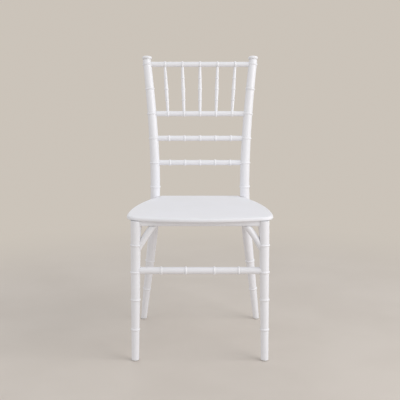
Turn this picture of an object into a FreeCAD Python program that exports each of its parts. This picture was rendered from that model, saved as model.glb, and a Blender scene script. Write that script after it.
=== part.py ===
import FreeCAD, Part
import math
import os
from collections import defaultdict

import Sketcher
from FreeCAD import Placement, Rotation, Vector

# A white moulded chiavari chair. Millimetres, +Z up, the front of the seat towards -Y.
# The origin is on the floor, under the middle of the chair. Left is -X.

# Driving sizes. Every one can be changed by itself.
SIZES = {
    # Seat panel
    "seat_height": 452.0,  # floor to the top of the panel
    "panel_thickness": 12.0,
    "panel_skin": 4.0,  # left above the cells in the underside
    "panel_half_width": 222.0,
    "panel_front": 229.0,  # from the origin forward to the lip
    "panel_back": 170.0,  # from the origin back to the rear edge
    "panel_bow_radius": 800.0,  # bow of the front edge
    "panel_corner_radius": 47.0,
    "panel_side_radius": 650.0,
    "panel_top_round": 6.0,
    "panel_bottom_round": 4.0,
    "panel_notch_gap": 1.2,  # round each post
    "cell_size": 58.0,
    "cell_rib": 6.0,
    "cell_middle": -25.0,
    # Front legs
    "front_leg_y": -195.0,
    "leg_top_x": 192.5,
    "leg_foot_x": 199.5,
    "leg_top_radius": 15.8,
    "leg_foot_radius": 11.5,
    "leg_ring_one": 100.0,
    "leg_ring_two": 194.5,
    "leg_ring_three": 281.0,
    "leg_ring_four": 365.0,
    # Back posts: rear leg and upright in one bent rod
    "waist_height": 515.0,  # where the post stands upright
    "waist_x": 150.5,
    "waist_y": 150.0,
    "waist_radius": 16.0,
    "foot_splay": 49.0,  # sideways, waist to foot
    "foot_rake": 69.0,  # backwards, waist to foot
    "knee_height": 300.0,  # straight and tapered below, bent above
    "post_top_height": 901.5,
    "top_splay": 27.1,
    "top_recline": 52.2,
    "bow_power": 1.7,  # 1 is a straight upright, 2 a bow
    "post_top_radius": 13.7,
    "post_foot_radius": 10.2,
    "rear_ring_low": 116.0,
    "rear_ring_high": 221.0,
    # Rings
    "post_ring_width": 7.0,
    "post_ring_rise": 2.2,
    "rail_ring_width": 7.0,
    "rail_ring_rise": 2.0,
    "spindle_ring_width": 5.0,
    "spindle_ring_rise": 1.3,
    # Back rails
    "top_rail_height": 892.0,
    "ring_pitch": 81.2,  # between the rings of a post and the rails that meet it
    "back_rail_radius": 8.7,
    "tenon_radius": 5.0,
    "tenon_length": 14.0,
    "housing_depth": 6.0,  # how deep a round rail's shoulder sits in its post
    # Spindles
    "spindle_foot_radius": 4.7,
    "spindle_middle_radius": 6.2,
    "spindle_top_radius": 4.3,
    "spindle_ring_pitch": 36.5,
    "spindle_tenon_radius": 3.0,
    "spindle_tenon_length": 5.5,
    "spindle_seat": 6.5,  # from a rail's axis to the spindle's shoulder
    # Front stretcher
    "stretcher_height": 285.6,
    "stretcher_radius": 11.0,
    "stretcher_ring_inner": 43.0,
    "stretcher_ring_outer": 117.0,
    # Seat rails
    "seat_rail_width": 18.0,
    "seat_rail_depth": 16.0,
    "seat_rail_round": 4.0,
    "seat_rail_floor": 13.5,  # from a leg's axis to the end of a seat rail
    # Braces
    "brace_radius": 10.0,
    "brace_reach": 52.0,  # along the rail, from the leg's axis to the middle of its top end
    "brace_entry": 367.5,  # height where its axis meets the leg's skin
    "brace_foot_slope": 58.5,  # degrees above level
    "brace_lead": 16.0,  # straight length outside the leg
    "brace_floor": 11.9,  # from the leg's axis to the brace's flat foot
    "brace_tenon_radius": 4.0,
    "brace_tenon_length": 11.0,
    # Corner blocks
    "block_near": 22.0,  # along each rail, from the leg's axis
    "block_far": 62.0,
    "block_depth": 14.0,
    # Post caps
    "cap_radius": 16.4,
    "cap_collar_radius": 13.4,
    "cap_collar_height": 5.0,
    "cap_neck_radius": 12.2,
    "cap_neck_height": 1.6,
    "cap_head_height": 11.8,
    "cap_dome": 1.4,
    "cap_plug_radius": 6.0,
    "cap_plug_length": 3.4,  # stops short of the top rail's tenon
    # Glides
    "glide_radius": 9.5,
    "glide_height": 3.0,
    "glide_plug_radius": 4.0,
    "glide_plug_length": 14.0,
    # Fasteners
    "pin_radius": 1.5,
    "pin_ease": 0.375,  # the bevel round each end
    "pin_length": 20.0,
    "pin_reach": 6.0,  # of its length, in front of the upright's axis
    "bolt_radius": 2.0,
    "bolt_length": 46.0,
    "bolt_head_radius": 4.0,
    "bolt_head_height": 3.0,
    "screw_radius": 1.75,
    "screw_length": 20.0,
    "screw_head_radius": 3.5,
    "screw_head_height": 2.4,
    "socket_depth": 1.4,  # of the driver's socket in a head
    "head_flat": 0.8,  # share of a head's radius that is flat on top
    "head_rim": 0.4,  # share of a head's height that is upright
    "rail_screw_place": 42.0,  # along a rail, from the leg's axis
    "rail_screw_bite": 9.0,  # into the rail
    "seat_screw_place": 30.0,  # from the leg's axis, along the block's middle
    "seat_screw_aside": 6.0,  # to one side of the leg bolt
    # Fits
    "fit_gap": 0.1,  # all round a tenon, plug, pin or screw
    "end_gap": 0.2,  # past the end of a tenon, plug, pin or screw
}

SIDES = {"left": -1, "right": 1}
ENDS = ("front", "rear")
BRACE_LABELS = ("_brace", "_side_brace")  # under the front or rear rail, and under the side rail
SPINDLE_STEPS = (-2, -1, 0, 1, 2)
BAYS = 3  # the spindles part each half of a rail into this many bays
BACK_RINGS = 6
POST_SECTIONS = 14
CELL_ROWS = 4
OVERRUN = 14.0  # how far a cutting tool stands out of a piece
TRIM = 80.0  # edge of the blocks that trim the ends of legs and braces
UP = Vector(0, 0, 1)
BACKWARDS = Vector(0, 1, 0)
SIDEWAYS = Vector(1, 0, 0)

doc = FreeCAD.newDocument("ChiavariChair")
parts = {}
sockets = defaultdict(list)  # the tools that cut each node, gathered before it is made


# Sheets and expressions

def make_sheet(name, values):
    """Write plain numbers to a sheet, one aliased cell each."""
    sheet = doc.addObject("Spreadsheet::Sheet", name)
    for row, (alias, value) in enumerate(values.items(), start=1):
        sheet.set("A%d" % row, str(value))
        sheet.setAlias("A%d" % row, alias)
    doc.recompute()
    return sheet


sizes = make_sheet("Sizes", SIZES)


def size(alias):
    """Read one driving size."""
    return float(getattr(sizes, alias))


def evaluate(expression):
    """Work out an expression in the sheets' values."""
    return float(sizes.evalExpression(expression))


def between(low, high, share):
    """Expression for the value a share of the way from one size to another."""
    return "(Sizes.%s + (Sizes.%s - Sizes.%s) * %.6f)" % (low, high, low, share)


def ring_curve(kind):
    """Expression for the radius of the arc across a ring."""
    half, rise = "Sizes.%s_ring_width / 2" % kind, "Sizes.%s_ring_rise" % kind
    return "(pow(%s; 2) + pow(%s; 2)) / (2 * %s)" % (half, rise, rise)


def mirrored(vector, side):
    """The same vector on the left or on the right."""
    return Vector(side * vector.x, vector.y, vector.z)


# The axes of the legs and posts, on the right hand side

panel_underside = size("seat_height") - size("panel_thickness")


def leg_point(height):
    """A point of the front leg's axis."""
    share = height / panel_underside
    return Vector(evaluate(between("leg_foot_x", "leg_top_x", share)), size("front_leg_y"), height)


def leg_radius(height):
    """Expression for the front leg's radius."""
    return between("leg_foot_radius", "leg_top_radius", height / panel_underside)


def below_waist(height):
    """From 1 at the foot to 0 at the waist: straight, then bent upright."""
    waist, knee = size("waist_height"), size("knee_height")
    bend = waist - knee
    slope = 1 / (knee + bend / 2)
    if height >= waist:
        return 0.0
    if height >= knee:
        return slope * (waist - height) ** 2 / (2 * bend)
    return 1 - slope * height


def above_waist(height):
    """From 0 at the waist to 1 at the post's top: a bow."""
    waist = size("waist_height")
    share = max(0.0, (height - waist) / (size("post_top_height") - waist))
    return share ** size("bow_power")


def post_point(height):
    """A point of the back post's axis."""
    low, high = below_waist(height), above_waist(height)
    x = size("waist_x") + size("foot_splay") * low + size("top_splay") * high
    y = size("waist_y") + size("foot_rake") * low + size("top_recline") * high
    return Vector(x, y, height)


def post_direction(height):
    """Upward direction of the back post's axis."""
    step = 0.5
    return (post_point(height + step) - post_point(height - step)).normalize()


def post_radius(height):
    """Expression for the back post's radius: thin at the foot, full from knee to waist."""
    waist = size("waist_height")
    if height < waist:
        share = min(max(height, 0.0) / size("knee_height"), 1.0)
        return between("post_foot_radius", "waist_radius", share)
    share = (height - waist) / (size("post_top_height") - waist)
    return between("waist_radius", "post_top_radius", share)


def upright(end, side, height):
    """A point of the axis of a front leg or a back post, and the radius there."""
    if end == "front":
        return mirrored(leg_point(height), side), evaluate(leg_radius(height))
    return mirrored(post_point(height), side), evaluate(post_radius(height))


def upright_node(end, label):
    """Name of a front leg or a back post."""
    return label + ("_front_leg" if end == "front" else "_back_post")


# Places that follow from the driving sizes, in a sheet of their own

rail_underside = panel_underside - size("seat_rail_depth")
rail_middle = panel_underside - size("seat_rail_depth") / 2
block_middle = panel_underside - size("block_depth") / 2
side_run = post_point(rail_middle) - leg_point(rail_middle)
side_lean = math.degrees(math.atan2(-side_run.x, side_run.y))
back_rails = {
    "top_rail": size("top_rail_height"),
    "spindle_rail": size("top_rail_height") - 2 * size("ring_pitch"),
    "upper_back_rail": size("top_rail_height") - 3 * size("ring_pitch"),
    "lower_back_rail": size("top_rail_height") - 4 * size("ring_pitch"),
}


def panel_places():
    """Where the arcs of the seat panel's outline meet, on the right."""
    bow, corner = size("panel_bow_radius"), size("panel_corner_radius")
    side, half = size("panel_side_radius"), size("panel_half_width")
    bow_middle = bow - size("panel_front")
    corner_middle = bow_middle - math.sqrt((bow - corner) ** 2 - (half - corner) ** 2)
    share = bow / (bow - corner)
    reach = size("panel_back") - corner_middle
    post = post_point(size("seat_height"))
    return {
        "corner_middle_y": corner_middle,
        "bow_end_x": (half - corner) * share,
        "bow_end_y": bow_middle + (corner_middle - bow_middle) * share,
        "side_end_x": half - side + math.sqrt(side ** 2 - reach ** 2),
        "notch_x": post.x,
        "notch_y": post.y,
        "notch_radius": evaluate(post_radius(size("seat_height"))) + size("panel_notch_gap"),
    }


def rail_half(end, height):
    """From the middle of a round rail to its shoulder, which is let into the upright."""
    axis_point, radius = upright(end, 1, height)
    return axis_point.x - radius + size("housing_depth")


def corner_ways(end, side):
    """Level directions out of a corner: along the front or rear rail, and the side rail."""
    along_side = mirrored(side_run, side).normalize()
    return Vector(-side, 0, 0), along_side if end == "front" else along_side * -1


def brace_plane(end, side, choice):
    """The axis point and skin where a brace starts, its level direction, and its reach."""
    axis_point, skin = upright(end, side, size("brace_entry"))
    rail_point = upright(end, side, rail_middle)[0]
    run = rail_point + corner_ways(end, side)[choice] * size("brace_reach") - axis_point
    run.z = 0
    reach = run.Length
    return axis_point, skin, run.normalize(), reach


def brace_places(end, choice):
    """Bend of a brace in its own upright plane, from the leg's axis inwards."""
    _, skin, _, reach = brace_plane(end, 1, choice)
    slope = math.radians(size("brace_foot_slope"))
    lead = size("brace_lead")
    run = reach - skin - lead * math.cos(slope)
    rise = rail_underside - size("brace_entry") - lead * math.sin(slope)
    half_turn = slope - math.atan2(rise, run)
    label = end + BRACE_LABELS[choice]
    return {
        label + "_turn": math.degrees(2 * half_turn),
        label + "_bend": math.hypot(run, rise) / (2 * math.sin(abs(half_turn))),
    }


LAYOUT = {
    "panel_underside": panel_underside,
    "side_rail_length": side_run.Length - 2 * size("seat_rail_floor"),
    "front_rail_length": 2 * (leg_point(rail_middle).x - size("seat_rail_floor")),
    "rear_rail_length": 2 * (post_point(rail_middle).x - size("seat_rail_floor")),
    "front_corner_angle": 90 - side_lean,
    "rear_corner_angle": 90 + side_lean,
    "stretcher_half": rail_half("front", size("stretcher_height")),
    "leg_length": (leg_point(panel_underside) - leg_point(0)).Length,
}
LAYOUT.update(panel_places())
for end in ENDS:
    for choice in range(len(BRACE_LABELS)):
        LAYOUT.update(brace_places(end, choice))
for node, height in back_rails.items():
    LAYOUT[node + "_half"] = rail_half("rear", height)
    LAYOUT[node + "_bay"] = post_point(height).x / BAYS
layout = make_sheet("Layout", {alias: "%.6f" % value for alias, value in LAYOUT.items()})


# Sketches, solids and cuts

def title(node):
    """A document name from a node's name."""
    return node.replace("_", " ").title().replace(" ", "")


def keep(node, piece):
    """Give a finished piece its node's name."""
    piece.Label = node
    parts[node] = piece


def new_sketch(body, name, role):
    """A sketch on one of the body's own origin planes."""
    sketch = body.newObject("Sketcher::SketchObject", name)
    plane = next(plane for plane in body.Origin.OriginFeatures if plane.Role == role)
    sketch.AttachmentSupport = [(plane, "")]
    sketch.MapMode = "FlatFace"
    return sketch


def arc_between(start, end, radius, turn):
    """The short arc from start to end that bends left (1) or right (-1)."""
    chord = end - start
    half = chord.Length / 2
    left = Vector(-chord.y, chord.x, 0).normalize()
    sagitta = radius - math.sqrt(max(radius ** 2 - half ** 2, 0.0))
    return Part.Arc(start, start + chord * 0.5 - left * (sagitta * turn), end)


def bind_coordinate(sketch, kind, axis, corner, expression):
    """Bind one coordinate of a corner, given as geometry and position, to an expression."""
    value = evaluate(expression)
    if abs(value) < 1e-9:
        sketch.addConstraint(Sketcher.Constraint("PointOnObject", corner[0], corner[1], axis))
        return
    bound = sketch.addConstraint(Sketcher.Constraint(kind, -1, 1, corner[0], corner[1], value))
    sketch.setExpression("Constraints[%d]" % bound, expression)


def draw(sketch, corners, closed=True):
    """Draw edges from corner to corner, each corner bound to the sheets.

    A corner is (x, y), or (x, y, radius, turn) where an arc leaves it. All are expressions
    but turn, which is 1 for an arc that bends left and -1 for one that bends right.
    """
    points = [Vector(evaluate(corner[0]), evaluate(corner[1]), 0) for corner in corners]
    count = len(corners) if closed else len(corners) - 1
    first = sketch.GeometryCount
    starts, finishes = [], []
    for index in range(count):
        start, end = points[index], points[(index + 1) % len(points)]
        geometry, turn = first + index, 1
        if len(corners[index]) == 2:
            sketch.addGeometry(Part.LineSegment(start, end))
        else:
            radius, turn = corners[index][2:]
            sketch.addGeometry(arc_between(start, end, evaluate(radius), turn))
            bound = sketch.addConstraint(
                Sketcher.Constraint("Radius", geometry, evaluate(radius)))
            sketch.setExpression("Constraints[%d]" % bound, radius)
        starts.append((geometry, 1 if turn > 0 else 2))
        finishes.append((geometry, 2 if turn > 0 else 1))
    for index in range(count if closed else count - 1):
        joint = finishes[index] + starts[(index + 1) % count]
        sketch.addConstraint(Sketcher.Constraint("Coincident", *joint))
    places = starts if closed else starts + finishes[-1:]
    for place, corner in zip(places, corners):
        bind_coordinate(sketch, "DistanceX", -2, place, corner[0])
        bind_coordinate(sketch, "DistanceY", -1, place, corner[1])


def turned(name, corners):
    """A body turned about its own Z axis, from a half outline in X and Z."""
    body = doc.addObject("PartDesign::Body", name)
    sketch = new_sketch(body, name + "Outline", "XZ_Plane")
    draw(sketch, corners)
    turning = body.newObject("PartDesign::Revolution", name + "Turning")
    turning.Profile = sketch
    turning.ReferenceAxis = (sketch, ["V_Axis"])
    turning.Angle = 360
    return body


def padded(name, role, corners, length, flip=False):
    """A body padded from a closed outline on one of its origin planes."""
    body = doc.addObject("PartDesign::Body", name)
    sketch = new_sketch(body, name + "Outline", role)
    draw(sketch, corners)
    pad = body.newObject("PartDesign::Pad", name + "Pad")
    pad.Profile = sketch
    pad.Reversed = flip
    pad.setExpression("Length", length)
    return body


def primitive(kind, name, placement, **bindings):
    """A Part primitive whose sizes are bound to expressions."""
    solid = doc.addObject("Part::" + kind, name)
    for label, expression in bindings.items():
        solid.setExpression(label, expression)
    solid.Placement = placement
    return solid


def pointing(point, direction):
    """The placement that takes the origin to a point and Z to a direction."""
    return Placement(point, Rotation(UP, direction))


def heading(direction):
    """The turn about Z that takes +Y to a level direction."""
    return Rotation(UP, math.degrees(math.atan2(-direction.x, direction.y)))


def drill(name, start, direction, radius, length):
    """A cylinder to cut with, from a start point along a direction."""
    return primitive("Cylinder", name, pointing(start, direction), Radius=radius, Height=length)


def trim(name, point, direction=UP):
    """A block to cut with: it stands on a point and rises along a direction."""
    turn = Rotation(UP, direction)
    corner = point - turn.multVec(Vector(TRIM / 2, TRIM / 2, 0))
    edge = "%g" % TRIM
    return primitive("Box", name, Placement(corner, turn), Length=edge, Width=edge, Height=edge)


def cut_away(name, blank, tool):
    """The blank, less one tool."""
    cut = doc.addObject("Part::Cut", name)
    cut.Base = blank
    cut.Tool = tool
    return cut


def cut_with(node, blank, tools):
    """Keep the blank, cut by one tool after another, as a node."""
    piece = blank
    for number, tool in enumerate(tools, start=1):
        piece = cut_away("%sCut%d" % (title(node), number), piece, tool)
    keep(node, piece)


# Turned outlines

def ring(kind, radius, height):
    """The two corners of a rounded ring on a turned outline."""
    half = "Sizes.%s_ring_width / 2" % kind
    return [
        (radius, "%s - %s" % (height, half), ring_curve(kind), 1),
        (radius, "%s + %s" % (height, half)),
    ]


def round_rail(name, half, radius, rings, point):
    """A ringed round rail along X, with a tenon at each end."""
    tenon, tip = "Sizes.tenon_radius", "(%s + Sizes.tenon_length)" % half
    corners = [("0", "-" + tip), (tenon, "-" + tip), (tenon, "-" + half), (radius, "-" + half)]
    for place in rings:
        corners += ring("rail", radius, place)
    corners += [(radius, half), (tenon, half), (tenon, tip), ("0", tip)]
    rail = turned(name, corners)
    rail.Placement = pointing(point, SIDEWAYS)
    return rail


def house_round_rail(node, end, height, radius):
    """Cut both uprights for a round rail's shoulder, tenon and pin, and the rail for the pin."""
    for label, side in SIDES.items():
        axis_point, skin = upright(end, side, height)
        inward = Vector(-side, 0, 0)
        shoulder = axis_point + inward * (skin - size("housing_depth"))
        hole_end = shoulder - inward * (size("tenon_length") + size("end_gap"))
        name = title(node + "_" + label)
        owner = upright_node(end, label)
        sockets[owner] += [
            drill(name + "Shoulder", shoulder, inward, radius + " + Sizes.fit_gap",
                  "Sizes.housing_depth + %g" % OVERRUN),
            drill(name + "Tenon", hole_end, inward, "Sizes.tenon_radius + Sizes.fit_gap",
                  "Sizes.tenon_length + Sizes.end_gap + Sizes.housing_depth"),
        ]
        pin_start = axis_point - BACKWARDS * size("pin_reach")
        pin_starts.append(pin_start)
        for user in (owner, node):
            hole_start = pin_start - BACKWARDS * size("end_gap")
            sockets[user].append(
                drill(title(user + "_" + node + "_" + label) + "Pin", hole_start, BACKWARDS,
                      "Sizes.pin_radius + Sizes.fit_gap", "Sizes.pin_length + %g" % OVERRUN))


pin_starts = []


# The back

def spindle_end(node, step):
    """Where a spindle's axis meets the axis of a rail."""
    point = post_point(back_rails[node])
    return Vector(step * point.x / BAYS, point.y, point.z)


def spindle_way(step):
    """Upward direction of a spindle."""
    return (spindle_end("top_rail", step) - spindle_end("spindle_rail", step)).normalize()


def house_spindle(node, step, inward):
    """Cut a rail for a spindle's shoulder and tenon."""
    shoulder = spindle_end(node, step) + inward * size("spindle_seat")
    hole_end = shoulder - inward * (size("spindle_tenon_length") + size("end_gap"))
    name = "%sSpindle%d" % (title(node), step - SPINDLE_STEPS[0] + 1)
    widest = "max(Sizes.spindle_foot_radius; Sizes.spindle_top_radius) + Sizes.fit_gap"
    sockets[node] += [
        drill(name + "Shoulder", shoulder, inward, widest, "Sizes.back_rail_radius"),
        drill(name + "Tenon", hole_end, inward, "Sizes.spindle_tenon_radius + Sizes.fit_gap",
              "Sizes.spindle_tenon_length + Sizes.end_gap + Sizes.fit_gap"),
    ]


def make_spindles():
    """Five turned spindles that fan out from the spindle rail to the top rail."""
    foot, head = "Sizes.spindle_foot_radius", "Sizes.spindle_top_radius"
    waist, tenon = "Sizes.spindle_middle_radius", "Sizes.spindle_tenon_radius"
    pitch, reach = "Sizes.spindle_ring_pitch", "Sizes.spindle_tenon_length"
    for number, step in enumerate(SPINDLE_STEPS, start=1):
        start = spindle_end("spindle_rail", step)
        run = (spindle_end("top_rail", step) - start).Length
        length = "(%.6f - 2 * Sizes.spindle_seat)" % run
        middle = length + " / 2"
        corners = [("0", "-" + reach), (tenon, "-" + reach), (tenon, "0"), (foot, "0")]
        corners += ring("spindle", "(%s + %s) / 2" % (foot, waist), middle + " - " + pitch)
        corners += ring("spindle", waist, middle)
        corners += ring("spindle", "(%s + %s) / 2" % (head, waist), middle + " + " + pitch)
        tip = "%s + %s" % (length, reach)
        corners += [(head, length), (tenon, length), (tenon, tip), ("0", tip)]
        node = "spindle_%d" % number
        spindle = turned(title(node), corners)
        way = spindle_way(step)
        spindle.Placement = pointing(start + way * size("spindle_seat"), way)
        house_spindle("spindle_rail", step, way)
        house_spindle("top_rail", step, way * -1)
        keep(node, spindle)


def make_back_rails():
    """The four ringed rails of the back."""
    for node, height in back_rails.items():
        rings = ["%d * Layout.%s_bay" % (step, node) for step in SPINDLE_STEPS]
        middle = Vector(0, post_point(height).y, height)
        radius = "Sizes.back_rail_radius"
        rail = round_rail(title(node) + "Blank", "Layout.%s_half" % node, radius, rings, middle)
        house_round_rail(node, "rear", height, radius)
        cut_with(node, rail, sockets[node])


def post_end(side):
    """The placement of a post's top face and of its cap: it leans back, but not sideways."""
    top = size("post_top_height")
    lean = post_direction(top)
    return pointing(mirrored(post_point(top), side), Vector(0, lean.y, lean.z).normalize())


def make_caps():
    """A mushroom cap on a collar, plugged into the top of each back post."""
    collar, collar_top = "Sizes.cap_collar_radius", "Sizes.cap_collar_height"
    neck, neck_top = "Sizes.cap_neck_radius", "(%s + Sizes.cap_neck_height)" % collar_top
    top = "(%s + Sizes.cap_head_height)" % neck_top
    plug, crown = "Sizes.cap_plug_radius", "(%s - Sizes.cap_dome)" % top
    half_side = "((%s - %s) / 2)" % (crown, neck_top)
    bulge = "(Sizes.cap_radius - %s)" % neck
    side_curve = "(pow(%s; 2) + pow(%s; 2)) / (2 * %s)" % (half_side, bulge, bulge)
    dome_curve = "(pow(%s; 2) + pow(Sizes.cap_dome; 2)) / (2 * Sizes.cap_dome)" % neck
    corners = [
        ("0", "-Sizes.cap_plug_length"), (plug, "-Sizes.cap_plug_length"), (plug, "0"),
        (collar, "0"), (collar, collar_top), (neck, collar_top),
        (neck, neck_top, side_curve, 1), (neck, crown, dome_curve, 1), ("0", top),
    ]
    for label, side in SIDES.items():
        node = label + "_post_cap"
        cap = turned(title(node), corners)
        cap.Placement = post_end(side)
        way = cap.Placement.Rotation.multVec(UP)
        sockets[label + "_back_post"].append(
            drill(title(node) + "Plug", cap.Placement.Base + way, way * -1,
                  "Sizes.cap_plug_radius + Sizes.fit_gap",
                  "1 + Sizes.cap_plug_length + Sizes.end_gap"))
        keep(node, cap)


# The seat frame

def rail_nodes(end, label):
    """Names of the two seat rails that meet at a corner, in the same order."""
    return end + "_seat_rail", label + "_seat_rail"


def house_seat_rails():
    """Pockets in the legs and posts for the ends of the seat rails."""
    gap = size("fit_gap")
    for end in ENDS:
        for label, side in SIDES.items():
            axis_point = upright(end, side, rail_middle)[0]
            for rail, way in zip(rail_nodes(end, label), corner_ways(end, side)):
                turn = heading(way)
                back_corner = Vector(-size("seat_rail_width") / 2 - gap,
                                     size("seat_rail_floor"), -size("seat_rail_depth") / 2 - gap)
                owner = upright_node(end, label)
                sockets[owner].append(primitive(
                    "Box", title(owner + "_" + rail),
                    Placement(axis_point + turn.multVec(back_corner), turn),
                    Length="Sizes.seat_rail_width + 2 * Sizes.fit_gap",
                    Width="%g" % OVERRUN,
                    Height="Sizes.seat_rail_depth + 2 * Sizes.fit_gap"))


def make_seat_rails():
    """Four bars with rounded lower edges, let into the legs and posts."""
    half, deep = "Sizes.seat_rail_width / 2", "Sizes.seat_rail_depth / 2"
    curve = "Sizes.seat_rail_round"
    section = [
        ("-(%s)" % half, "%s - %s" % (curve, deep), curve, 1),
        ("%s - %s" % (curve, half), "-(%s)" % deep),
        ("%s - %s" % (half, curve), "-(%s)" % deep, curve, 1),
        (half, "%s - %s" % (curve, deep)),
        (half, deep),
        ("-(%s)" % half, deep),
    ]
    runs = {
        "front_seat_rail": ("front", "right", 0, "Layout.front_rail_length"),
        "rear_seat_rail": ("rear", "right", 0, "Layout.rear_rail_length"),
        "left_seat_rail": ("front", "left", 1, "Layout.side_rail_length"),
        "right_seat_rail": ("front", "right", 1, "Layout.side_rail_length"),
    }
    for node, (end, label, choice, length) in runs.items():
        side = SIDES[label]
        way = corner_ways(end, side)[choice]
        axis_point = upright(end, side, rail_middle)[0]
        rail = padded(title(node) + "Blank", "XZ_Plane", section, length, flip=True)
        rail.Placement = Placement(axis_point + way * size("seat_rail_floor"), heading(way))
        cut_with(node, rail, sockets[node])


def make_brace(node, end, label, choice, rail):
    """A bent round brace from a leg to the underside of a seat rail."""
    name, side = title(node), SIDES[label]
    axis_point, skin, way, reach = brace_plane(end, side, choice)
    slope = math.radians(size("brace_foot_slope"))
    foot_way = way * math.cos(slope) + UP * math.sin(slope)
    level_way = way * math.sin(slope) - UP * math.cos(slope)
    sunk = (skin - size("brace_floor")) / math.cos(slope) + 2 * size("brace_radius")
    foot = axis_point + way * skin - foot_way * sunk
    turn = "Layout.%s%s_turn" % (end, BRACE_LABELS[choice])
    bend = "Layout.%s%s_bend" % (end, BRACE_LABELS[choice])
    sense = 1 if evaluate(turn) > 0 else -1
    angle = "%s * 1deg" % turn
    straight = "(%.6f + Sizes.brace_lead)" % sunk
    bent_x = "(%d * %s * (1 - cos(%s)))" % (sense, bend, angle)
    bent_z = "(%s + %s * abs(sin(%s)))" % (straight, bend, angle)
    run_on = "(Sizes.brace_radius * 2)"

    body = doc.addObject("PartDesign::Body", name + "Blank")
    spine = new_sketch(body, name + "Spine", "XZ_Plane")
    draw(spine, [
        ("0", "0"),
        ("0", straight, bend, -sense),
        (bent_x, bent_z),
        ("%s + %s * sin(%s)" % (bent_x, run_on, angle),
         "%s + %s * cos(%s)" % (bent_z, run_on, angle)),
    ], closed=False)
    circle = new_sketch(body, name + "Circle", "XY_Plane")
    radius = evaluate("Sizes.brace_radius")
    circle.addGeometry(Part.Circle(Vector(0, 0, 0), UP, radius))
    circle.addConstraint(Sketcher.Constraint("Coincident", 0, 3, -1, 1))
    bound = circle.addConstraint(Sketcher.Constraint("Radius", 0, radius))
    circle.setExpression("Constraints[%d]" % bound, "Sizes.brace_radius")
    pipe = body.newObject("PartDesign::AdditivePipe", name + "Pipe")
    pipe.Profile = circle
    pipe.Spine = (spine, ["Edge1", "Edge2", "Edge3"])
    body.Placement = Placement(foot, Rotation(level_way, foot_way.cross(level_way),
                                              foot_way, "ZXY"))

    top_slope = slope - math.radians(evaluate(turn))
    top_way = way * math.cos(top_slope) + UP * math.sin(top_slope)
    top = axis_point + way * reach
    top.z = rail_underside
    topped = cut_away(name + "Topped", body, trim(name + "TopTrim", top))
    floor = axis_point + way * size("brace_floor")
    trimmed = cut_away(name + "Trimmed", topped, trim(name + "FootTrim", floor, way * -1))
    root = size("brace_radius") / 2
    tenon = drill(name + "Tenon", top - top_way * root, top_way, "Sizes.brace_tenon_radius",
                  "Sizes.brace_radius / 2 + Sizes.brace_tenon_length")
    brace = doc.addObject("Part::Fuse", name)
    brace.Base = trimmed
    brace.Tool = tenon
    keep(node, brace)

    housing = drill(name + "Housing", foot, foot_way, "Sizes.brace_radius + Sizes.fit_gap",
                    straight + " + 2 * Sizes.brace_radius")
    sockets[upright_node(end, label)].append(cut_away(
        name + "Pocket", housing,
        trim(name + "PocketTrim", floor - way * size("end_gap"), way * -1)))
    sockets[rail].append(
        drill(name + "Socket", top - top_way * root, top_way,
              "Sizes.brace_tenon_radius + Sizes.fit_gap",
              "Sizes.brace_radius / 2 + Sizes.brace_tenon_length + Sizes.end_gap"))


def make_braces():
    """Two braces at each corner: one under the front or rear rail, one under the side rail."""
    for end in ENDS:
        for label in SIDES:
            nodes = ("%s_%s_brace" % (end, label), "%s_%s_side_brace" % (label, end))
            rails = rail_nodes(end, label)
            for choice, (node, rail) in enumerate(zip(nodes, rails)):
                make_brace(node, end, label, choice, rail)


# Corner blocks and fasteners

def screw_shape(name, kind, length):
    """A turned screw or bolt: its shank runs up from under the head, which has a socket."""
    head, high = "Sizes.%s_head_radius" % kind, "Sizes.%s_head_height" % kind
    shank, floor = "Sizes.%s_radius" % kind, "Sizes.socket_depth - " + high
    return turned(name, [
        ("0", floor), (shank, floor), (shank, "-" + high),
        (head + " * Sizes.head_flat", "-" + high), (head, "-Sizes.head_rim * " + high),
        (head, "0"), (shank, "0"), (shank, length + " - " + shank),
        (shank + " / 2", length), ("0", length),
    ])


def gather(node, master, placements):
    """Keep a node of identical fasteners: links to one master, each in its place."""
    links = []
    for number, placement in enumerate(placements, start=1):
        link = doc.addObject("App::Link", "%s%d" % (title(node), number))
        link.LinkedObject = master
        link.Placement = placement
        links.append(link)
    group = doc.addObject("Part::Compound", title(node))
    group.Links = links
    keep(node, group)


def screw_hole(node, name, head_point, way, kind, length, spot=False):
    """Cut a node for a screw's shank, and for its head where the face there is slanted."""
    shank = "Sizes.%s_radius + Sizes.fit_gap" % kind
    sockets[node].append(
        drill(name, head_point, way, shank, length + " + Sizes.end_gap"))
    if spot:
        sockets[node].append(
            drill(name + "Head", head_point, way * -1,
                  "Sizes.%s_head_radius + Sizes.end_gap" % kind, "%g" % OVERRUN))


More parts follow.
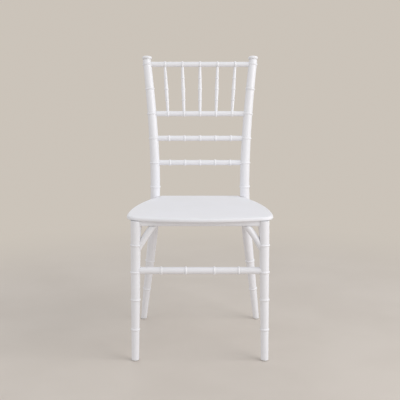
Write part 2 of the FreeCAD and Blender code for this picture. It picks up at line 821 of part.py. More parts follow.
def make_corner_blocks():
    """A block in each corner of the frame, bolted to the leg and screwed to rails and seat."""
    bolts, rail_screws, seat_screws = [], [], []
    half = "Sizes.seat_rail_width / 2"
    for end in ENDS:
        angle = "(Layout.%s_corner_angle * 1deg)" % end
        opening = math.radians(evaluate("Layout.%s_corner_angle" % end))
        for label, side in SIDES.items():
            node = "%s_%s_corner_block" % (end, label)
            name, owner = title(node), upright_node(end, label)
            hand = -side if end == "front" else side
            outline = []
            for reach in ("Sizes.block_near", "Sizes.block_far"):
                outline.append((reach, "%d * %s" % (hand, half)))
            for reach in ("Sizes.block_far", "Sizes.block_near"):
                outline.append((
                    "%s * cos(%s) + %s * sin(%s)" % (reach, angle, half, angle),
                    "%d * (%s * sin(%s) - %s * cos(%s))" % (hand, reach, angle, half, angle),
                ))
            block = padded(name + "Blank", "XY_Plane", outline, "Sizes.block_depth")
            axis_point = upright(end, side, block_middle)[0]
            ways = corner_ways(end, side)
            turn = Rotation(SIDEWAYS, ways[0]) if side < 0 else Rotation(UP, 180)
            base = Vector(axis_point.x, axis_point.y, panel_underside - size("block_depth"))
            block.Placement = Placement(base, turn)

            middle_way = (ways[0] + ways[1]).normalize()
            far = size("block_far") * math.cos(opening / 2) \
                + size("seat_rail_width") / 2 * math.sin(opening / 2)
            bolt_point = axis_point + middle_way * far
            bolts.append(pointing(bolt_point, middle_way * -1))
            for user in (node, owner):
                screw_hole(user, title(user + "_bolt_" + end + label), bolt_point,
                           middle_way * -1, "bolt", "Sizes.bolt_length")

            for rail, way, other in zip(rail_nodes(end, label), ways, ways[::-1]):
                inner = (other - way * other.dot(way)).normalize()
                seat = size("seat_rail_width") / 2 + size("screw_length") - size("rail_screw_bite")
                point = axis_point + way * size("rail_screw_place") + inner * seat
                rail_screws.append(pointing(point, inner * -1))
                screw_hole(node, title(node + "_" + rail) + "Screw", point, inner * -1,
                           "screw", "Sizes.screw_length", spot=True)
                screw_hole(rail, title(rail + "_" + end + label) + "Screw", point, inner * -1,
                           "screw", "Sizes.screw_length")

            aside = (ways[0] - middle_way * ways[0].dot(middle_way)).normalize()
            point = base + middle_way * size("seat_screw_place") + aside * size("seat_screw_aside")
            seat_screws.append(pointing(point, UP))
            for user in (node, "seat_panel"):
                screw_hole(user, title(user + "_" + end + label) + "SeatScrew", point, UP,
                           "screw", "Sizes.screw_length")
            cut_with(node, block, sockets[node])
    bolt = screw_shape("LegBolt", "bolt", "Sizes.bolt_length")
    screw = screw_shape("FrameScrew", "screw", "Sizes.screw_length")
    gather("leg_bolts", bolt, bolts)
    gather("block_screws", screw, rail_screws)
    gather("seat_screws", screw, seat_screws)


def make_pins():
    """The steel pins that lock the tenons of the round rails."""
    radius, length, ease = "Sizes.pin_radius", "Sizes.pin_length", "Sizes.pin_ease"
    pin = turned("TenonPin", [
        ("0", "0"), (radius + " - " + ease, "0"), (radius, ease), (radius, length + " - " + ease),
        (radius + " - " + ease, length), ("0", length),
    ])
    gather("tenon_pins", pin, [pointing(start, BACKWARDS) for start in pin_starts])


# The seat panel

def panel_outline():
    """The panel seen from above: bowed front, round corners, curved sides, straight back."""
    bow, corner, side = (
        "Sizes.panel_bow_radius", "Sizes.panel_corner_radius", "Sizes.panel_side_radius",
    )
    half, back = "Sizes.panel_half_width", "Sizes.panel_back"
    return [
        ("-Layout.bow_end_x", "Layout.bow_end_y", bow, 1),
        ("Layout.bow_end_x", "Layout.bow_end_y", corner, 1),
        (half, "Layout.corner_middle_y", side, 1),
        ("Layout.side_end_x", back),
        ("-Layout.side_end_x", back, side, 1),
        ("-" + half, "Layout.corner_middle_y", corner, 1),
    ]


def rim_edges(shape, height):
    """Names of the edges that lie at a height."""
    names = []
    for number, edge in enumerate(shape.Edges, start=1):
        box = edge.BoundBox
        if abs(box.ZMin - height) < 1e-4 and abs(box.ZMax - height) < 1e-4:
            names.append("Edge%d" % number)
    return names


def round_rim(body, name, height, radius):
    """Round the panel's outline at its top or bottom face."""
    doc.recompute()
    base = body.Tip
    fillet = body.newObject("PartDesign::Fillet", name)
    fillet.Base = (base, rim_edges(base.Shape, height))
    fillet.setExpression("Radius", radius)


def make_seat_panel():
    """The seat: a rounded panel, notched round the posts, with cells in its underside."""
    body = padded("SeatPanelBlank", "XY_Plane", panel_outline(), "Sizes.panel_thickness")
    thickness = size("panel_thickness")
    round_rim(body, "PanelTopRound", thickness, "Sizes.panel_top_round")
    round_rim(body, "PanelBottomRound", 0.0, "Sizes.panel_bottom_round")
    cells = new_sketch(body, "PanelCells", "XY_Plane")
    pitch = "(Sizes.cell_size + Sizes.cell_rib)"
    half = "Sizes.cell_size / 2"
    for row in range(CELL_ROWS):
        for column in range(CELL_ROWS):
            across = "(%g * %s)" % (column - (CELL_ROWS - 1) / 2, pitch)
            along = "(Sizes.cell_middle + %g * %s)" % (row - (CELL_ROWS - 1) / 2, pitch)
            draw(cells, [
                ("%s - %s" % (across, half), "%s - %s" % (along, half)),
                ("%s + %s" % (across, half), "%s - %s" % (along, half)),
                ("%s + %s" % (across, half), "%s + %s" % (along, half)),
                ("%s - %s" % (across, half), "%s + %s" % (along, half)),
            ])
    doc.recompute()
    before = body.Shape.Volume
    pocket = body.newObject("PartDesign::Pocket", "PanelCellPocket")
    pocket.Profile = cells
    pocket.Reversed = True
    pocket.setExpression("Length", "Sizes.panel_thickness - Sizes.panel_skin")
    doc.recompute()
    cell = size("cell_size") ** 2 * (thickness - size("panel_skin"))
    removed = before - body.Shape.Volume
    if abs(removed - CELL_ROWS ** 2 * cell) > 1.0:
        raise RuntimeError("the panel's cells removed %.1f" % removed)
    body.Placement = Placement(Vector(0, 0, panel_underside), Rotation())
    notches = []
    for label, side in SIDES.items():
        point = mirrored(post_point(size("seat_height")), side)
        point.z = panel_underside - OVERRUN
        notches.append(drill(title(label) + "Notch", point, UP, "Layout.notch_radius",
                             "Sizes.panel_thickness + %g" % (2 * OVERRUN)))
    cut_with("seat_panel", body, notches + sockets["seat_panel"])


# What stands on the floor

def make_stretcher():
    """The round bar between the front legs."""
    height, radius = size("stretcher_height"), "Sizes.stretcher_radius"
    outer, inner = "Sizes.stretcher_ring_outer", "Sizes.stretcher_ring_inner"
    middle = Vector(0, size("front_leg_y"), height)
    bar = round_rail("FrontStretcherBlank", "Layout.stretcher_half", radius,
                     ["-" + outer, "-" + inner, inner, outer], middle)
    house_round_rail("front_stretcher", "front", height, radius)
    cut_with("front_stretcher", bar, sockets["front_stretcher"])


def make_glides():
    """A plastic glide, plugged into the foot of each leg."""
    disc, plug = "Sizes.glide_radius", "Sizes.glide_plug_radius"
    high, edge = "Sizes.glide_height", "Sizes.glide_height / 3"
    tip = "%s + Sizes.glide_plug_length" % high
    corners = [
        ("0", "0"), ("%s - %s" % (disc, edge), "0"), (disc, edge), (disc, high),
        (plug, high), (plug, tip), ("0", tip),
    ]
    for end in ENDS:
        for label, side in SIDES.items():
            node = "%s_%s_glide" % (end, label)
            glide = turned(title(node), corners)
            point = upright(end, side, 0)[0]
            glide.Placement = Placement(point, Rotation())
            keep(node, glide)
            owner = upright_node(end, label)
            sockets[owner] += [
                drill(title(node) + "Plug", point, UP, plug + " + Sizes.fit_gap",
                      tip + " + Sizes.end_gap"),
                trim(title(node) + "Trim", point + UP * (size("glide_height") - TRIM)),
            ]


def make_front_legs():
    """Two tapered, ringed front legs."""
    corners = [("0", "-%g" % OVERRUN), ("Sizes.leg_foot_radius", "-%g" % OVERRUN)]
    for height in ("leg_ring_one", "leg_ring_two", "leg_ring_three", "leg_ring_four"):
        corners += ring("post", leg_radius(size(height)), "Sizes." + height)
    end = "Layout.leg_length + %g" % OVERRUN
    corners += [("Sizes.leg_top_radius", end), ("0", end)]
    for label, side in SIDES.items():
        node = upright_node("front", label)
        foot = mirrored(leg_point(0), side)
        head = mirrored(leg_point(panel_underside), side)
        blank = turned(title(node) + "Blank", corners)
        blank.Placement = pointing(foot, (head - foot).normalize())
        sockets[node].append(trim(title(node) + "TopTrim", head))
        cut_with(node, blank, sockets[node])


def make_back_posts():
    """Two bent, tapered posts, each rear leg and upright in one, with their rings."""
    reach = size("post_top_height") + OVERRUN
    rings = [size("rear_ring_low"), size("rear_ring_high")]
    rings += [size("top_rail_height") - step * size("ring_pitch") for step in range(BACK_RINGS)]
    curve = ring_curve("post")
    for label, side in SIDES.items():
        node = upright_node("rear", label)
        name = title(node)

        def across(height):
            """The placement square to the post's axis at a height."""
            return pointing(mirrored(post_point(height), side),
                            mirrored(post_direction(height), side))

        sections = []
        for index in range(POST_SECTIONS):
            height = reach * index / (POST_SECTIONS - 1) - OVERRUN
            place = across(height) if index < POST_SECTIONS - 1 else post_end(side)
            sections.append(primitive("Circle", "%sSection%d" % (name, index),
                                      place, Radius=post_radius(height)))
        rod = doc.addObject("Part::Loft", name + "Rod")
        rod.Sections = sections
        rod.Solid = True
        pieces = [rod]
        for index, height in enumerate(rings):
            middle = "%s + Sizes.post_ring_rise - %s" % (post_radius(height), curve)
            place = across(height) * Placement(Vector(), Rotation(UP, 90))
            pieces.append(primitive("Torus", "%sRing%d" % (name, index), place,
                                    Radius1=middle, Radius2=curve))
        blank = doc.addObject("Part::MultiFuse", name + "Blank")
        blank.Shapes = pieces
        cut_with(node, blank, sockets[node])


# Make everything, members before the uprights that hold them

make_spindles()
make_back_rails()
make_caps()
make_stretcher()
house_seat_rails()
make_braces()
make_corner_blocks()
make_pins()
make_seat_rails()
make_seat_panel()
make_glides()
make_front_legs()
make_back_posts()
doc.recompute()

broken = [item.Name for item in doc.Objects if {"Invalid", "Error"} & set(item.State)]
if broken:
    raise RuntimeError("features failed: " + ", ".join(broken))
for node, piece in parts.items():
    if piece.Shape.isNull() or not piece.Shape.isValid() or not piece.Shape.Solids:
        raise RuntimeError("no sound solid: " + node)

os.makedirs("parts", exist_ok=True)
for node, piece in parts.items():
    piece.Shape.exportStep("parts/%s.step" % node)
print("%d nodes" % len(parts))
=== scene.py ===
"""A white moulded chiavari chair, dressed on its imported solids.

The solids come from the frame. This script gives them their finishes and sets up a plain studio.
"""

import logging
import math
from collections.abc import Iterable
from dataclasses import dataclass
from enum import Enum

import bmesh
import bpy
from bpy.types import Material, Node, NodeSocket, NodeTree, Object
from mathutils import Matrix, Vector


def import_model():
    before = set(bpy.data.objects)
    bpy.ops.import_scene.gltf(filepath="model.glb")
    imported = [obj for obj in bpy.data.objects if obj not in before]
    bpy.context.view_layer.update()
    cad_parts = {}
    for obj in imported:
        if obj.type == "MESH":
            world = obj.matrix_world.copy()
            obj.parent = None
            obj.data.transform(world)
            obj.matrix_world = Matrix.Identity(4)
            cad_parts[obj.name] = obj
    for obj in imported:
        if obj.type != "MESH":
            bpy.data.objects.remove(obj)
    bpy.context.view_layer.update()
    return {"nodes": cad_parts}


log = logging.getLogger("chiavari_chair")

Colour = tuple[float, float, float]
Place = tuple[float, float, float]
Span = tuple[float, float]

RISING: Span = (0.0, 1.0)
FALLING: Span = (1.0, 0.0)

# A Mix node has sockets for every kind of value. These are the ones that colours use.
MIX_SHARE, MIX_FIRST, MIX_SECOND = 0, 6, 7
MIX_RESULT = 2

# An unturned camera looks straight down, and this turn makes it look level.
LEVEL_TURN = 90.0


class Grain(Enum):
    """How coarse the mould left a face."""

    POLISHED = 0
    SPARKED = 1


# Shader building blocks


@dataclass
class Nodes:
    """A node tree and the calls that fill it.

    Args:
        tree: The node tree of a material, a world or a node group.
    """

    tree: NodeTree

    def add(self, kind: str, **settings: object) -> Node:
        """Add a node and set its plain properties.

        Args:
            kind: Blender's node type.
            settings: Property values, by name.

        Returns:
            The new node.
        """
        node = self.tree.nodes.new(kind)
        for name, value in settings.items():
            setattr(node, name, value)
        return node

    def feed(self, target: NodeSocket, value: NodeSocket | Colour | float) -> None:
        """Link an input to another socket, or set its plain value.

        Args:
            target: The input to feed.
            value: What it gets: a socket, a colour or a number.
        """
        if isinstance(value, NodeSocket):
            self.tree.links.new(value, target)
        elif isinstance(value, tuple):
            target.default_value = (*value, 1.0)
        else:
            target.default_value = value

    def noise(self, place: NodeSocket, scale: NodeSocket | float, detail: float,
              rough: float = 0.5) -> NodeSocket:
        """Add a noise texture.

        Args:
            place: Where the noise is read.
            scale: Features per metre.
            detail: Octaves.
            rough: Weight of the finer octaves.

        Returns:
            The noise's value, about 0.5.
        """
        node = self.add("ShaderNodeTexNoise", noise_dimensions="3D")
        for name, value in (("Vector", place), ("Scale", scale), ("Detail", detail),
                            ("Roughness", rough)):
            self.feed(node.inputs[name], value)
        return node.outputs["Fac"]

    def remap(self, value: NodeSocket, source: Span, result: Span) -> NodeSocket:
        """Map a value from one span to another, smoothly and clamped.

        Args:
            value: The value to map.
            source: Inputs that give the first and the last result.
            result: First and last result.

        Returns:
            The mapped value.
        """
        node = self.add("ShaderNodeMapRange", interpolation_type="SMOOTHSTEP")
        for name, number in zip(("From Min", "From Max", "To Min", "To Max"), source + result):
            self.feed(node.inputs[name], number)
        self.feed(node.inputs["Value"], value)
        return node.outputs["Result"]

    def combine(self, operation: str, *operands: NodeSocket | float) -> NodeSocket:
        """Combine values.

        Args:
            operation: Blender's name for it, such as MULTIPLY.
            operands: The values, linked or plain.

        Returns:
            The result.
        """
        node = self.add("ShaderNodeMath", operation=operation)
        for target, operand in zip(node.inputs, operands):
            self.feed(target, operand)
        return node.outputs[0]

    def mix(self, share: NodeSocket, first: NodeSocket | Colour, second: Colour) -> NodeSocket:
        """Mix two colours.

        Args:
            share: 0 gives the first colour, 1 the second.
            first: A colour, linked or plain.
            second: A plain colour.

        Returns:
            The mixed colour.
        """
        node = self.add("ShaderNodeMix", data_type="RGBA")
        for index, value in ((MIX_SHARE, share), (MIX_FIRST, first), (MIX_SECOND, second)):
            self.feed(node.inputs[index], value)
        return node.outputs[MIX_RESULT]

    def either(self, share: NodeSocket, first: Node, second: Node) -> NodeSocket:
        """Mix two shaders.

        Args:
            share: 0 gives the first shader, 1 the second.
            first: A shader's node.
            second: Another shader's node.

        Returns:
            The mixed shader.
        """
        node = self.add("ShaderNodeMixShader")
        for target, source in zip(node.inputs, (share, first.outputs[0], second.outputs[0])):
            self.feed(target, source)
        return node.outputs[0]

    def bump(self, height: NodeSocket, strength: float, depth: float) -> NodeSocket:
        """Turn a height into a normal.

        Args:
            height: The height.
            strength: Share of the effect.
            depth: Metres that a height of 1 stands for.

        Returns:
            The normal.
        """
        node = self.add("ShaderNodeBump")
        for name, value in (("Strength", strength), ("Distance", depth), ("Height", height)):
            self.feed(node.inputs[name], value)
        return node.outputs["Normal"]

    def place_group(self, group: NodeTree, place: NodeSocket, **values: float) -> Node:
        """Place a shared group.

        Args:
            group: The shared group.
            place: The coordinates that it reads.
            values: What its other inputs are here, by name.

        Returns:
            The group's node.
        """
        node = self.add("ShaderNodeGroup", node_tree=group)
        self.feed(node.inputs["Place"], place)
        for name, value in values.items():
            self.feed(node.inputs[name], value)
        return node


@dataclass
class Surface(Nodes):
    """The node tree of a material.

    Args:
        tree: The node tree.
        material: The material.
        place: Its object coordinates.
    """

    material: Material
    place: NodeSocket

    @classmethod
    def start(cls, name: str) -> "Surface":
        """Start a material.

        Args:
            name: The material's name.

        Returns:
            Its node tree.
        """
        material = bpy.data.materials.new(name)
        material.use_nodes = True
        tree = material.node_tree
        return cls(tree, material, Nodes(tree).add("ShaderNodeTexCoord").outputs["Object"])

    def finish(self, looks: dict[str, NodeSocket | float]) -> Material:
        """Feed the Principled shader.

        Args:
            looks: What its inputs get, by name.

        Returns:
            The material.
        """
        shader = self.tree.nodes["Principled BSDF"]
        for name, value in looks.items():
            self.feed(shader.inputs[name], value)
        return self.material


# The shared effects


def new_group(name: str, inputs: dict[str, float],
              outputs: tuple[str, ...]) -> tuple[Nodes, Node, Node]:
    """Start a shader node group that reads object coordinates.

    Args:
        name: The group's name.
        inputs: Float inputs and their defaults.
        outputs: Names of its float outputs.

    Returns:
        Its nodes, its group input and its group output.
    """
    tree = bpy.data.node_groups.new(name, "ShaderNodeTree")
    tree.interface.new_socket("Place", in_out="INPUT", socket_type="NodeSocketVector")
    for label, value in inputs.items():
        socket = tree.interface.new_socket(label, in_out="INPUT", socket_type="NodeSocketFloat")
        socket.default_value = value
    for label in outputs:
        tree.interface.new_socket(label, in_out="OUTPUT", socket_type="NodeSocketFloat")
    nodes = Nodes(tree)
    return nodes, nodes.add("NodeGroupInput"), nodes.add("NodeGroupOutput")


@dataclass(frozen=True)
class MouldSkin:
    """The skin that a steel mould leaves on plastic.

    Args:
        grains: Fine grains per metre.
        clouds: Slow clouds of tone per metre.
        ripples: Shallow ripples per metre.
        grain_share: Share of the height that the grains give.
        ripple_share: Share of the height that the ripples give.
    """

    grains: float = 2200.0
    clouds: float = 9.0
    ripples: float = 160.0
    grain_share: float = 0.5
    ripple_share: float = 0.5

    def group(self) -> NodeTree:
        """Build the shared group.

        Returns:
            A group that puts out a fine height and a slow drift of tone, both about 0.5.
        """
        nodes, entry, leave = new_group(
            "Mould skin", {"Fine": self.grains, "Slow": self.clouds}, ("Height", "Drift"))
        place = entry.outputs["Place"]
        fine = nodes.noise(place, entry.outputs["Fine"], detail=2.0, rough=0.6)
        ripple = nodes.noise(place, self.ripples, detail=1.0, rough=0.4)
        slow = nodes.noise(place, entry.outputs["Slow"], detail=3.0)
        swell = nodes.combine("MULTIPLY", ripple, self.ripple_share)
        height = nodes.combine("MULTIPLY_ADD", fine, self.grain_share, swell)
        nodes.feed(leave.inputs["Height"], height)
        nodes.feed(leave.inputs["Drift"], slow)
        return nodes.tree


@dataclass(frozen=True)
class Rubs:
    """The faint rubs that handling and floors leave.

    Args:
        amount: Strength of the rubs.
        reach: Height at which they have thinned out, in metres.
        specks: Specks per metre.
        upright: Share of that number per metre of height, which draws specks out into strokes.
        edge: Noise values at which a rub starts and is whole.
        aloft: Strength above the reach.
        extra: What is added to it at the floor.
    """

    amount: float = 0.5
    reach: float = 0.05
    specks: float = 260.0
    upright: float = 0.25
    edge: Span = (0.56, 0.74)
    aloft: float = 0.1
    extra: float = 0.9

    def group(self) -> NodeTree:
        """Build the shared group.

        Returns:
            A group that puts out a mask: specks and short strokes, stronger towards the floor.
        """
        nodes, entry, leave = new_group(
            "Rubs", {"Amount": self.amount, "Reach": self.reach}, ("Mask",))
        place = entry.outputs["Place"]
        split = nodes.add("ShaderNodeSeparateXYZ")
        nodes.feed(split.inputs[0], place)
        climb = nodes.combine("DIVIDE", split.outputs["Z"], entry.outputs["Reach"])
        low = nodes.remap(climb, RISING, FALLING)
        stretch = nodes.add("ShaderNodeMapping")
        stretch.inputs["Scale"].default_value = (1.0, 1.0, self.upright)
        nodes.feed(stretch.inputs["Vector"], place)
        specks = nodes.noise(stretch.outputs["Vector"], self.specks, detail=4.0, rough=0.65)
        strokes = nodes.remap(specks, self.edge, RISING)
        strength = nodes.combine("MULTIPLY_ADD", low, self.extra, self.aloft)
        worn = nodes.combine("MULTIPLY", strength, strokes)
        nodes.feed(leave.inputs["Mask"], nodes.combine("MULTIPLY", worn, entry.outputs["Amount"]))
        return nodes.tree


@dataclass(frozen=True)
class SurfaceTools:
    """The shared node groups, each built once.

    Args:
        skin: The mould's skin.
        rubs: The rubs from handling and floors.
    """

    skin: NodeTree
    rubs: NodeTree


# The finishes


@dataclass(frozen=True)
class Relief:
    """What a mould's face leaves on the resin.

    Args:
        grains: Grains per metre.
        spread: How far the roughness goes up and down with them.
        strength: Strength of the bump.
        depth: Depth of the bump, in metres.
        coat: Weight of the shine on top.
    """

    grains: float
    spread: float
    strength: float
    depth: float
    coat: float


RELIEFS = {
    Grain.POLISHED: Relief(grains=2600.0, spread=0.06, strength=0.10, depth=0.00008, coat=0.12),
    Grain.SPARKED: Relief(grains=1500.0, spread=0.10, strength=0.22, depth=0.00012, coat=0.0),
}


@dataclass(frozen=True)
class ResinFinish:
    """Satin white resin, straight from the mould.

    Args:
        name: The material's name.
        grain: How coarse the mould's face was.
        colour: Its colour.
        shade: The colour that its tone drifts towards.
        shade_share: Share of that colour where the drift is strongest.
        drift_span: Drift values at which that starts and is strongest.
        rubbed: The colour of a rub.
        rub_amount: Strength of the rubs.
        rub_roughness: What a rub adds to the roughness.
        crease_shade_colour: The colour of the painted shade in creases.
        crease_reach: How far the painted shade reaches out of a crease, in metres.
        crease_shade_share: Share of painted shade in the deepest crease.
        crease_span: Openness at which a crease is deepest and at which it ends.
        crease_rays: Rays that tell how open a place is.
        roughness: The middle of its roughness.
        height_span: Heights at which the roughness is lowest and highest.
        refraction: Its refractive index.
        coat_roughness: Roughness of the shine on top.
    """

    name: str
    grain: Grain
    colour: Colour = (0.874, 0.874, 0.91)
    shade: Colour = (0.82, 0.817, 0.83)
    shade_share: float = 0.28
    drift_span: Span = (0.35, 0.7)
    rubbed: Colour = (0.62, 0.61, 0.59)
    rub_amount: float = 0.35
    rub_roughness: float = 0.3
    crease_shade_colour: Colour = (0.46, 0.445, 0.42)
    crease_reach: float = 0.006
    crease_shade_share: float = 0.45
    crease_span: Span = (0.35, 0.85)
    crease_rays: int = 8
    roughness: float = 0.34
    height_span: Span = (0.3, 0.7)
    refraction: float = 1.52
    coat_roughness: float = 0.18

    def material(self, tools: SurfaceTools) -> Material:
        """Build the material.

        Args:
            tools: The shared node groups.

        Returns:
            The finished material.
        """
        relief = RELIEFS[self.grain]
        surface = Surface.start(self.name)
        skin = surface.place_group(tools.skin, surface.place, Fine=relief.grains)
        rubs = surface.place_group(tools.rubs, surface.place, Amount=self.rub_amount)
        height, rubbed = skin.outputs["Height"], rubs.outputs["Mask"]

        drift = surface.remap(skin.outputs["Drift"], self.drift_span, (0.0, self.shade_share))
        tone = surface.mix(drift, self.colour, self.shade)
        worn = surface.mix(rubbed, tone, self.rubbed)
        # Painted shade: creases and joints that little light reaches are darkened towards a
        # grey-brown.
        crease = surface.add("ShaderNodeAmbientOcclusion", samples=self.crease_rays)
        surface.feed(crease.inputs["Distance"], self.crease_reach)
        painted_crease_shade = surface.remap(crease.outputs["AO"], self.crease_span, (self.crease_shade_share, 0.0))

        rough = surface.combine("MULTIPLY_ADD", rubbed, self.rub_roughness, self.roughness)
        varied = surface.remap(height, self.height_span, (-relief.spread, relief.spread))
        return surface.finish({
            "Base Color": surface.mix(painted_crease_shade, worn, self.crease_shade_colour),
            "Roughness": surface.combine("ADD", rough, varied),
            "Normal": surface.bump(height, relief.strength, relief.depth),
            "IOR": self.refraction,
            "Coat Weight": relief.coat,
            "Coat Roughness": self.coat_roughness,
        })


@dataclass(frozen=True)
class NylonFinish:
    """Milky grey nylon with floor rubs.

    Args:
        name: The material's name.
        colour: Its colour.
        shade: The colour that its tone drifts towards.
        shade_share: Share of that colour where the drift is strongest.
        drift_span: Drift values at which that starts and is strongest.
        rubbed: The colour of a rub.
        rub_amount: Strength of the rubs.
        rub_reach: Height at which they have thinned out, in metres.
        rub_roughness: What a rub adds to the roughness.
        roughness: Its roughness where it isn't rubbed.
        bump_strength: Strength of the bump.
        bump_depth: Depth of the bump, in metres.
    """

    name: str
    colour: Colour = (0.70, 0.70, 0.685)
    shade: Colour = (0.62, 0.615, 0.60)
    shade_share: float = 0.6
    drift_span: Span = (0.35, 0.7)
    rubbed: Colour = (0.36, 0.345, 0.32)
    rub_amount: float = 0.9
    rub_reach: float = 0.006
    rub_roughness: float = 0.25
    roughness: float = 0.48
    bump_strength: float = 0.2
    bump_depth: float = 0.0001

    def material(self, tools: SurfaceTools) -> Material:
        """Build the material.

        Args:
            tools: The shared node groups.

        Returns:
            The finished material.
        """
        surface = Surface.start(self.name)
        skin = surface.place_group(tools.skin, surface.place)
        rubs = surface.place_group(tools.rubs, surface.place, Amount=self.rub_amount,
                                   Reach=self.rub_reach)
        rubbed = rubs.outputs["Mask"]
        drift = surface.remap(skin.outputs["Drift"], self.drift_span, (0.0, self.shade_share))
        tone = surface.mix(drift, self.colour, self.shade)
        return surface.finish({
            "Base Color": surface.mix(rubbed, tone, self.rubbed),
            "Roughness": surface.combine("MULTIPLY_ADD", rubbed, self.rub_roughness,
                                         self.roughness),
            "Normal": surface.bump(skin.outputs["Height"], self.bump_strength, self.bump_depth),
        })


@dataclass(frozen=True)
class SteelFinish:
    """Zinc-plated steel with a faint spangle.

    Args:
        name: The material's name.
        colour: Its colour.
        spangle: The colour of its darker crystals.
        crystals: Crystals per metre.
        colour_span: Crystal values at which the colour starts and ends changing.
        rough_span: Crystal values at which the roughness starts and ends changing.
        roughness: The roughness that its crystals vary about.
        smoother: How far below that the roughness goes.
        duller: How far above that it goes.
        bump_strength: Strength of the bump.
        bump_depth: Depth of the bump, in metres.
    """

    name: str
    colour: Colour = (0.62, 0.63, 0.65)
    spangle: Colour = (0.54, 0.56, 0.60)
    crystals: float = 900.0
    colour_span: Span = (0.35, 0.65)
    rough_span: Span = (0.3, 0.7)
    roughness: float = 0.30
    smoother: float = 0.08
    duller: float = 0.12
    bump_strength: float = 0.15
    bump_depth: float = 0.00005

    def material(self, tools: SurfaceTools) -> Material:
        """Build the material.

        Args:
            tools: The shared node groups.

        Returns:
            The finished material.
        """
        surface = Surface.start(self.name)
        skin = surface.place_group(tools.skin, surface.place, Slow=self.crystals)
        crystal = skin.outputs["Drift"]
        share = surface.remap(crystal, self.colour_span, RISING)
        limits = (self.roughness - self.smoother, self.roughness + self.duller)
        return surface.finish({
            "Base Color": surface.mix(share, self.colour, self.spangle),
            "Roughness": surface.remap(crystal, self.rough_span, limits),
            "Metallic": 1.0,
            "Normal": surface.bump(skin.outputs["Height"], self.bump_strength, self.bump_depth),
        })


@dataclass(frozen=True)
class Wardrobe:
    """Every finished material, ready to be worn.

    Args:
        rod: Resin of the turned members.
        panel: Resin of the seat panel.
        glide: Nylon of the glides.
        steel: Plated steel of the fasteners.
    """

    rod: Material
    panel: Material
    glide: Material
    steel: Material


def make_wardrobe() -> Wardrobe:
    """Build the shared groups and the materials.

    Returns:
        The finished materials.
    """
    tools = SurfaceTools(skin=MouldSkin().group(), rubs=Rubs().group())
    return Wardrobe(
        rod=ResinFinish("Satin white resin", Grain.POLISHED).material(tools),
        panel=ResinFinish("Sparked white resin", Grain.SPARKED, roughness=0.58).material(tools),
        glide=NylonFinish("Milky nylon").material(tools),
        steel=SteelFinish("Zinc-plated steel").material(tools),
    )


# The chair's sub-assemblies


@dataclass
class Assembly:
    """Some of the chair's solids, and what they wear.

    Args:
        solids: The frame's nodes.
        wardrobe: The finished materials.
    """

    solids: dict[str, Object]
    wardrobe: Wardrobe

    def dress(self, nodes: Iterable[str], material: Material) -> None:
        """Put one material on every slot of some solids.

        Args:
            nodes: Names of the solids.
            material: The finished material.
        """
        for node in nodes:
            solid = self.solids[node]
            if not solid.data.materials:
                solid.data.materials.append(material)
            for slot in solid.material_slots:
                slot.material = material
            log.info("%s wears %s", solid.name, material.name)


@dataclass
class Back(Assembly):
    """Posts, caps, ringed rails and spindles.

    Args:
        posts: Bent rods of leg and upright.
        caps: Mushroom caps on the posts.
        rails: Ringed rails, from the top down.
        spindle_count: Thin turned spindles, numbered from one side.
    """

    posts: tuple[str, ...] = ("left_back_post", "right_back_post")
    caps: tuple[str, ...] = ("left_post_cap", "right_post_cap")
    rails: tuple[str, ...] = ("top_rail", "spindle_rail", "upper_back_rail", "lower_back_rail")
    spindle_count: int = 5

    def build(self) -> None:
        """Dress every piece of the back."""
        spindles = tuple(f"spindle_{number + 1}" for number in range(self.spindle_count))
        self.dress(self.posts + self.caps + self.rails + spindles, self.wardrobe.rod)


@dataclass
class Seat(Assembly):
    """The panel, the rails that carry it and the blocks in their corners.

    Args:
        sides: Where the seat rails are.
        corners: Where the corner blocks are.
    """

    sides: tuple[str, ...] = ("front", "rear", "left", "right")
    corners: tuple[str, ...] = ("front_left", "front_right", "rear_left", "rear_right")

    def build(self) -> None:
        """Dress the panel and the frame under it."""
        self.dress(("seat_panel",), self.wardrobe.panel)
        self.dress((f"{side}_seat_rail" for side in self.sides), self.wardrobe.rod)
        self.dress((f"{corner}_corner_block" for corner in self.corners), self.wardrobe.rod)


@dataclass
class Underframe(Assembly):
    """Front legs, stretcher, braces and glides.

    Args:
        members: Front legs and the bar between them.
        corners: Where a brace goes to the front or rear rail, and where the glides are.
        side_corners: Where a brace goes to a side rail.
    """

    members: tuple[str, ...] = ("left_front_leg", "right_front_leg", "front_stretcher")
    corners: tuple[str, ...] = ("front_left", "front_right", "rear_left", "rear_right")
    side_corners: tuple[str, ...] = ("left_front", "right_front", "left_rear", "right_rear")

    def build(self) -> None:
        """Dress the legs and what joins them."""
        self.dress(self.members, self.wardrobe.rod)
        self.dress((f"{corner}_brace" for corner in self.corners), self.wardrobe.rod)
        self.dress((f"{corner}_side_brace" for corner in self.side_corners), self.wardrobe.rod)
        self.dress((f"{corner}_glide" for corner in self.corners), self.wardrobe.glide)


@dataclass
class Fasteners(Assembly):
    """Pins, bolts and screws.

    Args:
        kinds: The sets of fasteners.
    """

    kinds: tuple[str, ...] = ("tenon_pins", "leg_bolts", "block_screws", "seat_screws")

    def build(self) -> None:
        """Dress the fasteners."""
        self.dress(self.kinds, self.wardrobe.steel)


# The studio


@dataclass(frozen=True)
class Lamp:
    """A soft area lamp.

    Args:
        name: Its name.
        place: Where it hangs, in metres.
        power: Watts.
        width: Edge of its square face, in metres.
    """

    name: str
    place: Place
    power: float
    width: float


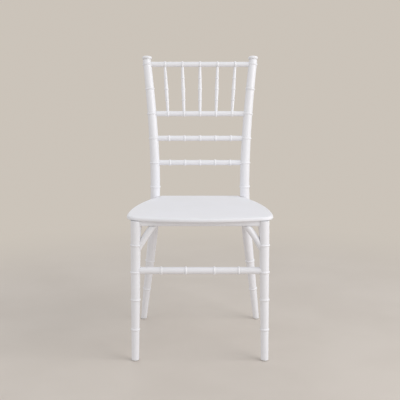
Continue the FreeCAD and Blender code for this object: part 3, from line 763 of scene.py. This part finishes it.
@dataclass
class Studio:
    """Pale floor, soft lamps and the photograph's camera.

    Args:
        eye: The camera's place.
        pitch: Degrees below level.
        lens: Focal length on the sensor, in millimetres.
        sensor: The sensor's width, in millimetres.
        aim: What the lamps point at.
        floor_edge: Edge of the square floor.
        floor_tones: The floor's two colours.
        floor_clouds: Clouds per metre of the second colour.
        cloud_span: Noise values at which a cloud starts and is whole.
        floor_roughness: The floor's roughness.
        fade: Distances from the chair where the floor starts and ends turning into the backdrop.
        backdrop: The backdrop's colour.
        daylight: Colour of the even light.
        world_level: Strength of the even light.
        lamps: The lamps.
    """

    eye: Place = (0.0, -2.765, 0.973)
    pitch: float = 10.37
    lens: float = 78.8
    sensor: float = 36.0
    aim: Place = (0.0, 0.0, 0.45)
    floor_edge: float = 120.0
    floor_tones: tuple[Colour, Colour] = ((0.63, 0.575, 0.52), (0.66, 0.605, 0.55))
    floor_clouds: float = 3.0
    cloud_span: Span = (0.3, 0.7)
    floor_roughness: float = 0.6
    fade: Span = (0.8, 1.9)
    backdrop: Colour = (0.60, 0.55, 0.49)
    daylight: Colour = (0.97, 0.98, 1.0)
    world_level: float = 0.61
    lamps: tuple[Lamp, ...] = (
        Lamp("Key", place=(2.80, -1.56, 2.08), power=76.0, width=3.2),
        Lamp("Fill", place=(-3.02, -1.22, 1.97), power=14.0, width=2.4),
        Lamp("Back", place=(-1.20, 2.60, 3.20), power=11.0, width=2.4),
    )

    def build(self) -> None:
        """Build the floor, the world, the lamps and the camera."""
        self.make_floor()
        self.make_world()
        for lamp in self.lamps:
            self.hang(lamp)
        self.make_camera()
        bpy.context.scene.view_settings.view_transform = "Standard"

    def seen(self, nodes: Nodes) -> NodeSocket:
        """Tell the rays that show the backdrop from those that light the chair.

        Args:
            nodes: The tree to add to.

        Returns:
            1 for camera, glossy and transmission rays, 0 for the others.
        """
        path = nodes.add("ShaderNodeLightPath").outputs
        sharp = nodes.combine("MAXIMUM", path["Is Glossy Ray"], path["Is Transmission Ray"])
        return nodes.combine("MAXIMUM", path["Is Camera Ray"], sharp)

    def make_floor(self) -> None:
        """Lay a plain pale floor that turns into the backdrop away from the chair."""
        shape = bmesh.new()
        bmesh.ops.create_grid(shape, x_segments=1, y_segments=1, size=self.floor_edge / 2)
        mesh = bpy.data.meshes.new("Floor")
        shape.to_mesh(mesh)
        shape.free()
        floor = bpy.data.objects.new("Floor", mesh)
        bpy.context.scene.collection.objects.link(floor)
        floor.data.materials.append(self.floor_material())

    def floor_material(self) -> Material:
        """Build the floor's material.

        Returns:
            The finished material.
        """
        surface = Surface.start("Pale floor")
        patches = surface.noise(surface.place, self.floor_clouds, detail=3.0)
        cloud = surface.remap(patches, self.cloud_span, RISING)
        distance = surface.add("ShaderNodeVectorMath", operation="LENGTH")
        surface.feed(distance.inputs[0], surface.place)
        away = surface.remap(distance.outputs["Value"], self.fade, RISING)
        share = surface.combine("MULTIPLY", self.seen(surface), away)
        lit, leave = (surface.tree.nodes[name] for name in ("Principled BSDF", "Material Output"))
        flat = surface.add("ShaderNodeEmission")
        surface.feed(flat.inputs["Color"], self.backdrop)
        surface.feed(leave.inputs["Surface"], surface.either(share, lit, flat))
        return surface.finish({
            "Base Color": surface.mix(cloud, *self.floor_tones),
            "Roughness": self.floor_roughness,
        })

    def make_world(self) -> None:
        """Light the room evenly; the backdrop is seen in its place."""
        world = bpy.data.worlds.new("Room")
        bpy.context.scene.world = world
        world.use_nodes = True
        nodes = Nodes(world.node_tree)
        lit, leave = (world.node_tree.nodes[name] for name in ("Background", "World Output"))
        nodes.feed(lit.inputs["Color"], self.daylight)
        nodes.feed(lit.inputs["Strength"], self.world_level)
        flat = nodes.add("ShaderNodeBackground")
        nodes.feed(flat.inputs["Color"], self.backdrop)
        nodes.feed(leave.inputs["Surface"], nodes.either(self.seen(nodes), lit, flat))

    def hang(self, lamp: Lamp) -> None:
        """Hang one lamp and turn it to the chair.

        Args:
            lamp: What to hang.
        """
        light = bpy.data.lights.new(lamp.name, "AREA")
        light.shape = "SQUARE"
        light.size = lamp.width
        light.energy = lamp.power
        holder = bpy.data.objects.new(lamp.name, light)
        holder.location = lamp.place
        look = Vector(self.aim) - Vector(lamp.place)
        holder.rotation_euler = look.to_track_quat("-Z", "Y").to_euler()
        bpy.context.scene.collection.objects.link(holder)

    def make_camera(self) -> None:
        """Stand the camera where the photograph was taken."""
        optics = bpy.data.cameras.new("Camera")
        optics.lens = self.lens
        optics.sensor_width = self.sensor
        camera = bpy.data.objects.new("Camera", optics)
        camera.location = self.eye
        camera.rotation_euler = (math.radians(LEVEL_TURN - self.pitch), 0.0, 0.0)
        bpy.context.scene.collection.objects.link(camera)
        bpy.context.scene.camera = camera


def main() -> None:
    """Build the chair's looks, sub-assembly by sub-assembly, and the studio."""
    logging.basicConfig(level=logging.INFO, format="%(name)s: %(message)s")
    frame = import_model()
    solids = frame["nodes"]
    wardrobe = make_wardrobe()
    for assembly in (Back(solids, wardrobe), Seat(solids, wardrobe),
                     Underframe(solids, wardrobe), Fasteners(solids, wardrobe)):
        assembly.build()
    Studio().build()


if __name__ == "__main__":
    main()
